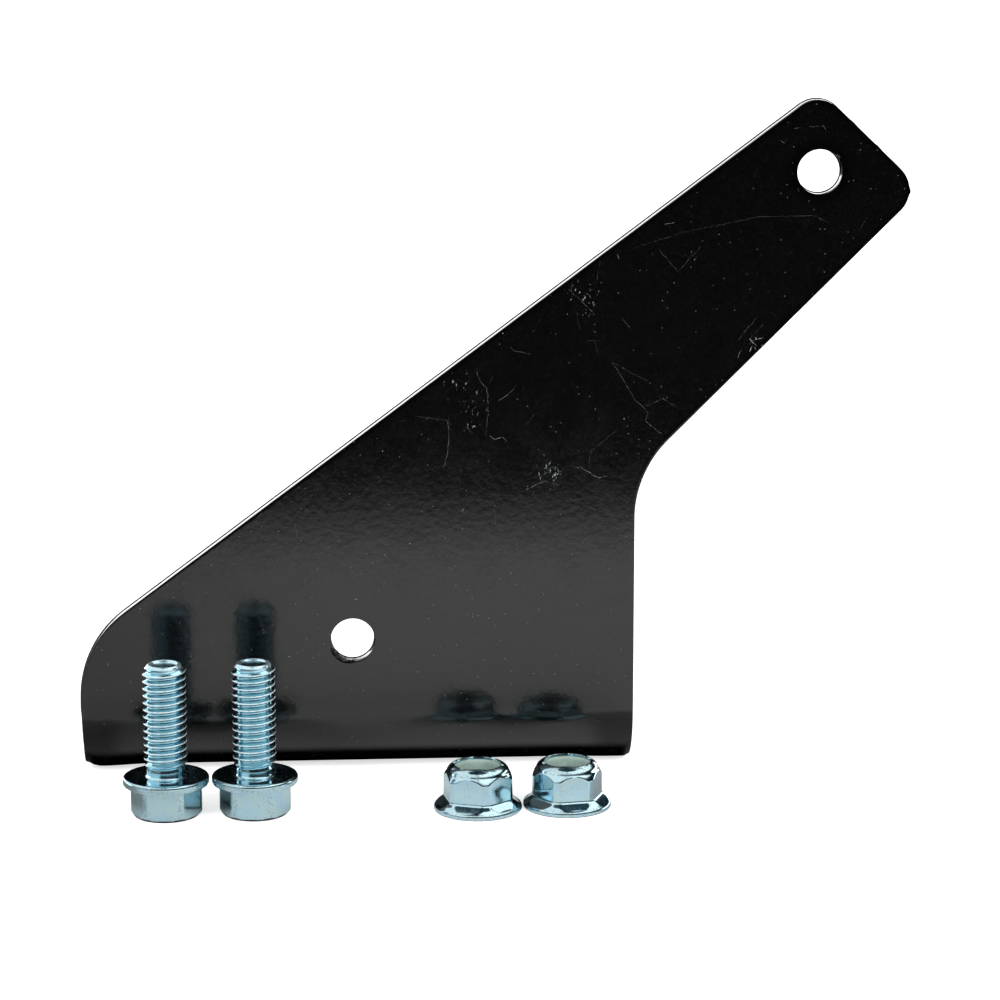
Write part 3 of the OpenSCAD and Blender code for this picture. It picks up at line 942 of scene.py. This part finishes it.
class OBJECT_OT_plow_nuts(Operator):
    """Forges and plates the two flange lock nuts, and turns their nylon inserts"""

    bl_idname = "object.plow_nuts"
    bl_label = "Lock nuts"

    def execute(self, context):
        sizes = context.scene.plow_fastener_sizes
        zinc = bpy.data.materials.get("zinc_plate") or zinc_plate(context.scene.plow_finishes)
        nylon = nylon_plastic(context.scene.plow_finishes)
        for side, turn in zip(("left", "right"), sizes.nut_turn):
            node, body = f"lock_nut_{side}", f"nut_{side}"
            low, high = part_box(node)
            nut = self.nut(sizes, high.z)
            insert = self.insert(sizes)
            for bm in (nut, insert):
                stand_at(bm, (low + high) / 2, turn)
            finish_piece(f"zinc_nut_{side}", nut, zinc, body, node, sharp=27)
            finish_piece(f"nylon_ring_{side}", insert, nylon, body, f"nylon_insert_{side}")
        return {"FINISHED"}

    def nut(self, sizes, top):
        rim, flat = sizes.nut_flange / 2 / MM, sizes.flats / 2 / MM
        corner = sizes.flats / math.sqrt(3)
        # Half the nut's outline in millimetres: its foot, the flange's rim and a wide body, from which the
        # skirt and the hexagon are cut.
        profile = [(4.0, 0.9), (4.8, 0.0), (rim - 0.5, 0.0), (rim - 0.2, 0.08), (rim - 0.04, 0.3)]
        profile += [(rim, 0.6), (rim - 0.03, 0.95), (rim - 0.14, 1.2), (rim - 0.32, 1.36)]
        wide = corner / MM + 1.1
        profile += [(wide, z) for z in (1.5, 1.7, 1.9, 2.1, 2.3, 2.5, 2.7, 2.9, 3.1, 3.4, 4.2, 5.2, 6.1)]
        # The top chamfer falls steeply toward the corners.
        for i in range(12):
            fall = 2.4 * (1 - i / 11)
            profile.append((flat + 0.6 * fall**0.85, 8.6 - fall))
        # Above the flats the collar is rolled over the insert. Inside it the bore goes down to the foot.
        profile += [(7.06, 8.72), (6.98, 8.86), (6.92, 9.02), (6.84, 9.25), (6.7, 9.5), (6.48, 9.76)]
        profile += [(6.22, 9.98), (5.94, 10.17), (5.68, 10.32), (5.48, 10.42), (5.28, 10.43), (5.12, 10.34)]
        profile += [(5.05, 10.15), (5.06, 9.95), (5.2, 9.86), (5.85, 9.84), (5.9, 7.4), (4.75, 7.38)]
        profile += [(4.1, 6.95), (4.0, 6.5), (4.0, 0.9)]
        bm = bmesh.new()
        bm.verts.layers.float.new("grime")
        turned(bm, profile, sizes.steps)
        self.skirt(bm, sizes, corner)
        self.thread(bm)
        self.grime(bm, sizes)
        self.crimp(bm, sizes.lip / 2, top)
        return bm

    def skirt(self, bm, sizes, corner):
        """Below each flat the flange slopes out as one plane, so that the corners run on as ridges."""
        rim = sizes.nut_flange / 2 - 0.34 * MM
        half = sizes.flats / 2

        def spread(z):
            down = 2.75 * MM - z
            smooth = 0.5 * (down + math.sqrt(down * down + (0.16 * MM) ** 2))
            return min(half + smooth * 1.5, rim)

        for vert in bm.verts:
            radius = radius_of(vert)
            z = vert.co.z
            if radius < corner - 2 * MM or not 1.4 * MM < z < 8.61 * MM:
                continue
            angle = angle_of(vert)
            out = (spread(z) if z < 5 * MM else half) - half
            limit = hexagon(angle, sizes.flats + 2 * out, sizes.corners + 2 * out)
            round_skirt = rim - max(z - 1.42 * MM, 0) * 0.95
            limit = min(limit, max(round_skirt, hexagon(angle, sizes.flats, 2 * corner)), rim)
            if radius > limit:
                draw_to(vert, limit)

    def thread(self, bm):
        """Cuts fine turns of thread into the bore."""
        bore, depth, near = 4 * MM, 0.75 * MM, 0.02 * MM
        walls = [e for e in bm.edges if all(abs(radius_of(v) - bore) < near for v in e.verts)]
        upright = [e for e in walls if abs(e.verts[0].co.z - e.verts[1].co.z) > 3 * MM]
        bmesh.ops.subdivide_edges(bm, edges=upright, cuts=34, use_grid_fill=True)
        for vert in bm.verts:
            radius = radius_of(vert)
            if abs(radius - bore) < near and 1 * MM < vert.co.z < 6.4 * MM:
                turn = math.atan2(vert.co.y, vert.co.x) / (2 * math.pi)
                phase = (vert.co.z / THREAD_PITCH - turn) % 1
                draw_to(vert, radius + depth * (1 - abs(2 * phase - 1)))

    def grime(self, bm, sizes):
        """Leaves grime under the flange's rim, and some of it on the rim and the rolled collar."""
        grime = bm.verts.layers.float["grime"]
        rim, lip = sizes.nut_flange / 2, sizes.lip / 2
        for vert in bm.verts:
            radius = radius_of(vert)
            worn = 0.35 + 0.5 * noise.noise(vert.co * 300)
            if radius > rim - 0.6 * MM:
                vert[grime] = max(1 - eased(vert.co.z, 0.05 * MM, 0.6 * MM), worn)
            elif vert.co.z > 8.75 * MM and radius > lip:
                vert[grime] = worn

    def crimp(self, bm, lip, top):
        """Presses six crimping marks into the rolled lip."""
        first, spread = 6, 4.5
        for vert in bm.verts:
            radius = radius_of(vert)
            if vert.co.z > 9.9 * MM and radius < 6.6 * MM:
                angle = math.degrees(math.atan2(vert.co.y, vert.co.x)) % 60
                mark = math.exp(-(((angle - first) / spread) ** 2))
                ripple = noise.noise(vert.co * 420) * 0.06 * MM
                inner = 1 - eased(radius, lip, lip + 0.9 * MM)
                draw_to(vert, radius + inner * (0.6 * MM * mark - ripple))
                vert.co.z -= inner * (0.5 * MM * mark + abs(ripple) * 0.5)
                vert.co.z = min(vert.co.z, top)

    def insert(self, sizes):
        bm = bmesh.new()
        profile = [(5.88, 7.44), (5.88, 9.8), (5.5, 9.83), (5.0, 9.86), (4.75, 9.83), (4.5, 9.7)]
        profile += [(4.38, 9.45), (4.35, 9.1), (4.35, 8.2), (4.38, 7.7), (4.6, 7.46), (5.88, 7.44)]
        turned(bm, profile, sizes.steps)
        return bm


# ---------------------------------------------------------------- stage


class OBJECT_OT_plow_stage(Operator):
    """Sets the floor, the lights and the camera"""

    bl_idname = "object.plow_stage"
    bl_label = "Studio"

    def execute(self, context):
        self.floor()
        context.scene.world = self.world()
        self.lamp("front_left", (-0.62, -0.75, 0.7), 7)
        self.lamp("front_right", (0.7, -0.7, 0.7), 8.5)
        self.camera(context.scene, context.scene.plow_studio)
        context.scene.view_settings.view_transform = "Standard"
        return {"FINISHED"}

    def camera(self, scene, studio):
        lens = bpy.data.cameras.new("camera")
        lens.lens, lens.sensor_width = studio.lens, 36
        lens.clip_start, lens.clip_end = 0.01, 20
        camera = bpy.data.objects.new("camera", lens)
        camera.location = studio.camera_at
        camera.rotation_euler = (math.pi / 2 - studio.camera_down, 0, -studio.camera_aside)
        scene.collection.objects.link(camera)
        scene.camera = camera

    def floor(self):
        bm = bmesh.new()
        bmesh.ops.create_grid(bm, x_segments=8, y_segments=8, size=2.5)
        mesh = bpy.data.meshes.new("floor")
        bm.to_mesh(mesh)
        bm.free()
        mesh.materials.append(self.pale_floor())
        floor = bpy.data.objects.new("floor", mesh)
        bpy.context.scene.collection.objects.link(floor)

    def pale_floor(self):
        """A white floor, shaded only in what the pieces mirror, as paper in a studio is."""
        material = bpy.data.materials.new("pale_floor")
        nodes = Nodes(material)
        ray = nodes.add("LightPath").outputs
        place = nodes.add("SeparateXYZ", Vector=nodes.add("TexCoord").outputs["Object"]).outputs
        sideways, depth = place["X"], place["Y"]
        across = nodes.math("ABSOLUTE", sideways)
        # The white paper fades out 22 to 33 cm in front of the bracket; past it the room is dark.
        paper = nodes.ramp(depth, -0.36, -0.25, 0.02, 1.0)
        # Painted shade: right under the bend the paper is painted dark, as no light gets in there. A faint
        # painted band of shade crosses the paper 7 cm in front of the bracket, and a little past it the
        # paper is painted slightly darker.
        beside = nodes.ramp(across, HALF_WIDTH - 2 * MM, HALF_WIDTH + 3 * MM)
        under = nodes.ramp(depth, FRONT_Y + 1.5 * MM, FRONT_Y + 5.5 * MM, 1.0, 0.0)
        painted_shade_band = nodes.ramp(nodes.math("ABSOLUTE", nodes.plus(depth, 0.102)), 0.002, 0.012, 0.88, 1.0)
        under = nodes.times(under, painted_shade_band, nodes.ramp(depth, -0.15, -0.11, 1.0, 0.93))
        # Painted shade: beside the kit and close to it, the paper is painted half as bright.
        shade = nodes.times(nodes.ramp(across, 0.05, 0.06), nodes.ramp(depth, -0.09, -0.075))
        shade = nodes.ramp(shade, 0.0, 1.0, 1.0, 0.5)
        # The light falls off toward the left.
        falloff = nodes.ramp(sideways, -0.12, 0.02, 0.6, 1.0)
        paper = nodes.times(paper, nodes.most(under, beside), shade, falloff)
        seen = nodes.most(ray["Is Camera Ray"], nodes.math("SUBTRACT", 1.0, ray["Is Glossy Ray"]))
        white = nodes.mix(nodes.most(seen, paper), (0, 0, 0, 1), (0.86, 0.86, 0.85, 1))
        matt = nodes.add("BsdfDiffuse", Color=white)
        far = nodes.ramp(depth, 0.1, 0.5, 0.68, 1.0)
        strength = nodes.times(ray["Is Camera Ray"], far)
        glow = nodes.add("Emission", Color=(1, 1, 1, 1), Strength=strength)
        both = nodes.add("AddShader")
        nodes.feed(both.inputs[0], matt.outputs[0])
        nodes.feed(both.inputs[1], glow.outputs[0])
        nodes.add("OutputMaterial", Surface=both.outputs[0])
        return material

    def world(self):
        world = bpy.data.worlds.new("studio")
        nodes = Nodes(world)
        ray = nodes.add("LightPath").outputs
        way = nodes.add("SeparateXYZ", Vector=nodes.add("TexCoord").outputs["Generated"]).outputs

        def part(level, *bounds):
            for axis, low, high in bounds:
                level = nodes.times(level, nodes.ramp(way[axis], low, high))
            return level

        # What polished metal sees: white paper standing behind, softboxes high on the left, on the
        # right and in front, and a dark room everywhere else.
        room = nodes.most(
            0.02,
            part(3.4, ("Y", 0.05, 0.25), ("Z", 0.3, 0.22)),
            part(1.2, ("X", 0.05, -0.15), ("Y", -0.85, -0.7), ("Z", 0.12, 0.25)),
            part(1.6, ("X", -0.1, 0.1), ("Y", -0.85, -0.7), ("Z", 0.5, 0.62)),
            part(0.8, ("Y", -0.25, -0.4), ("Z", 0.38, 0.5)),
        )
        # It is dark straight overhead and below the horizon.
        room = nodes.times(room, nodes.ramp(way["Z"], 0.93, 0.955, 1.0, 0.04))
        room = nodes.times(room, nodes.ramp(way["Z"], -0.06, -0.02, 0.03, 1.0))
        # Matt surfaces see a plain grey room, and the camera a white one.
        plain = 0.6
        mirror = nodes.most(ray["Is Glossy Ray"], ray["Is Transmission Ray"])
        level = nodes.plus(nodes.times(mirror, nodes.math("SUBTRACT", room, plain)), plain)
        level = nodes.most(level, ray["Is Camera Ray"])
        # Its dim parts are blue and its bright ones white.
        light = nodes.mix(nodes.ramp(level, 0.0, 0.5), (0.3, 0.78, 1, 1), (1, 1, 1, 1))
        back = nodes.add("Background", Color=light, Strength=level)
        nodes.add("OutputWorld", Surface=back.outputs[0])
        return world

    def lamp(self, name, place, power):
        light = bpy.data.lights.new(name, "AREA")
        light.shape, light.size, light.size_y = "RECTANGLE", 0.5, 0.6
        light.energy = power
        lamp = bpy.data.objects.new(name, light)
        lamp.location = place
        aim = Vector((0, -0.04, 0.03)) - Vector(place)
        lamp.rotation_euler = aim.to_track_quat("-Z", "Y").to_euler()
        lamp.visible_camera = False
        lamp.visible_glossy = False
        bpy.context.scene.collection.objects.link(lamp)


# ---------------------------------------------------------------- panel and start


OPERATORS = (OBJECT_OT_plow_stage, OBJECT_OT_plow_bracket, OBJECT_OT_plow_bolts, OBJECT_OT_plow_nuts)
SETTINGS = {
    "plow_bracket_sizes": BracketSizes,
    "plow_fastener_sizes": FastenerSizes,
    "plow_finishes": Finishes,
    "plow_studio": Studio,
}


class VIEW3D_PT_plow_bracket(Panel):
    """Lists the bracket's parts"""

    bl_label = "Plow bracket"
    bl_space_type = "VIEW_3D"
    bl_region_type = "UI"
    bl_category = "Plow bracket"

    def draw(self, context):
        for kind in OPERATORS:
            self.layout.operator(kind.bl_idname)
        for name in SETTINGS:
            group = getattr(context.scene, name)
            box = self.layout.box()
            for key in group.__annotations__:
                box.prop(group, key)


def register():
    for kind in (*SETTINGS.values(), *OPERATORS, VIEW3D_PT_plow_bracket):
        bpy.utils.register_class(kind)
    for name, kind in SETTINGS.items():
        setattr(bpy.types.Scene, name, PointerProperty(type=kind))


def unregister():
    for name in SETTINGS:
        delattr(bpy.types.Scene, name)
    for kind in (VIEW3D_PT_plow_bracket, *OPERATORS[::-1], *list(SETTINGS.values())[::-1]):
        bpy.utils.unregister_class(kind)


def main():
    register()
    bpy.ops.object.plow_stage()
    bpy.ops.object.plow_bracket()
    bpy.ops.object.plow_bolts()
    bpy.ops.object.plow_nuts()


if __name__ == "__main__":
    main()
